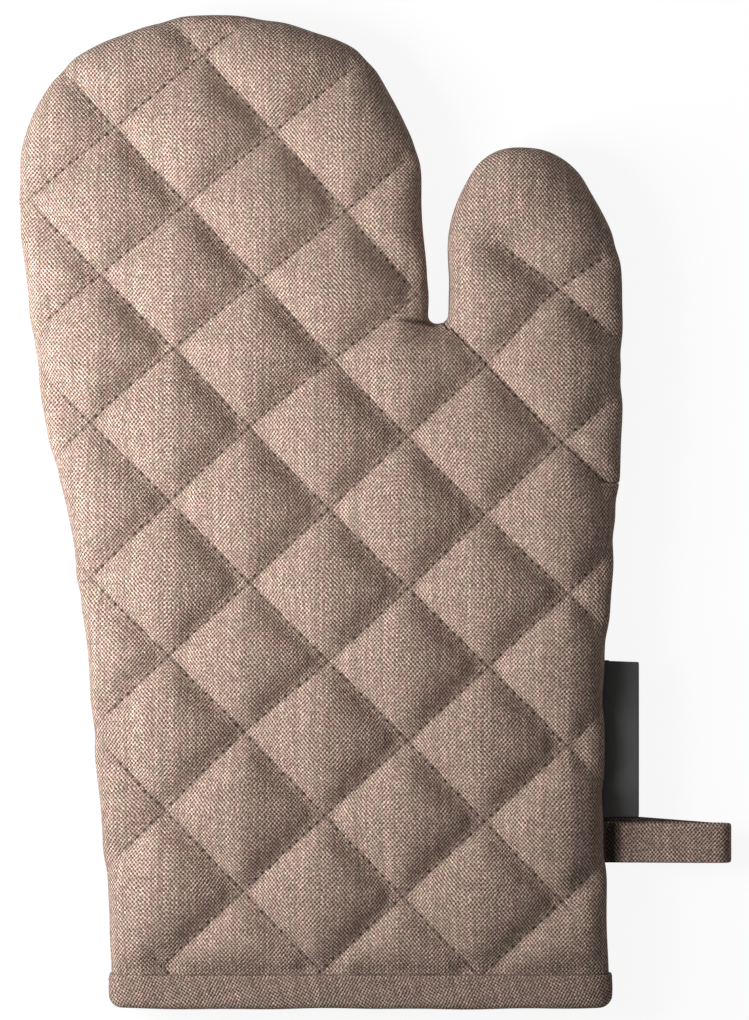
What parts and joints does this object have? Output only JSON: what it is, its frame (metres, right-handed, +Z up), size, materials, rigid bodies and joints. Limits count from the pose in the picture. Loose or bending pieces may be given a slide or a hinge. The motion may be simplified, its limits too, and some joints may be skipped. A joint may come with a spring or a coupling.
{
  "type": "oven mitt",
  "caption": "Quilted linen oven mitt with padded finger and thumb pockets, bound open cuff, hanging loop and bare folded ribbon label in the side seam.",
  "frame": {"origin": "under the middle of the whole object's box, on the table", "axes": "+Y from the open cuff to the fingertips, +X towards the thumb side, +Z up out of the front panel"},
  "size_m": [0.2146, 0.3, 0.027],
  "materials": {
    "linen": "plain-weave washed linen, taupe",
    "wadding": "matt needle-felt wadding",
    "lining": "plain cotton, matt",
    "quilting_thread": "tone-on-tone sewing thread",
    "seam_thread": "sewing thread",
    "binding": "bias-cut linen, folded",
    "loop_tape": "folded linen tape",
    "label_ribbon": "smooth dark grey woven ribbon"
  },
  "bodies": {
    "palm": {"front_linen_palm": "linen", "front_wadding_palm": "wadding", "front_lining_palm": "lining", "front_rising_threads_palm": "quilting_thread", "front_falling_threads_palm": "quilting_thread", "back_linen_palm": "linen", "back_wadding_palm": "wadding", "back_lining_palm": "lining", "back_rising_threads_palm": "quilting_thread", "back_falling_threads_palm": "quilting_thread", "seam_thread_palm": "seam_thread", "cuff_binding": "binding", "binding_stitch": "quilting_thread", "loop_tail": "loop_tape", "label_tail": "label_ribbon"},
    "fingers": {"front_linen_fingers": "linen", "front_wadding_fingers": "wadding", "front_lining_fingers": "lining", "front_rising_threads_fingers": "quilting_thread", "front_falling_threads_fingers": "quilting_thread", "back_linen_fingers": "linen", "back_wadding_fingers": "wadding", "back_lining_fingers": "lining", "back_rising_threads_fingers": "quilting_thread", "back_falling_threads_fingers": "quilting_thread", "seam_thread_fingers": "seam_thread"},
    "thumb": {"front_linen_thumb": "linen", "front_wadding_thumb": "wadding", "front_lining_thumb": "lining", "front_rising_threads_thumb": "quilting_thread", "front_falling_threads_thumb": "quilting_thread", "back_linen_thumb": "linen", "back_wadding_thumb": "wadding", "back_lining_thumb": "lining", "back_rising_threads_thumb": "quilting_thread", "back_falling_threads_thumb": "quilting_thread", "seam_thread_thumb": "seam_thread"},
    "loop": {"hanging_loop": "loop_tape"},
    "label": {"label_tab": "label_ribbon"}
  },
  "joints": [
    {"name": "fingers_fold", "type": "hinge", "parent": "palm", "child": "fingers", "pos_m": [-0.04381, 0.075, 0.0273], "axis": [1, 0, 0], "range_deg": [0, 60]},
    {"name": "thumb_fold", "type": "hinge", "parent": "palm", "child": "thumb", "pos_m": [0.02785, 0.06578, 0.0273], "axis": [0.7314, -0.682, 0], "range_deg": [0, 45]},
    {"name": "loop_swing", "type": "hinge", "parent": "palm", "child": "loop", "pos_m": [0.07259, -0.09985, 0.0135], "axis": [0, -1, 0], "range_deg": [-60, 60], "stiffness_Nm_per_rad": 0.002},
    {"name": "label_swing", "type": "hinge", "parent": "palm", "child": "label", "pos_m": [0.07197, -0.0687, 0.0135], "axis": [0, -1, 0], "range_deg": [-60, 60], "stiffness_Nm_per_rad": 0.0005}
  ]
}
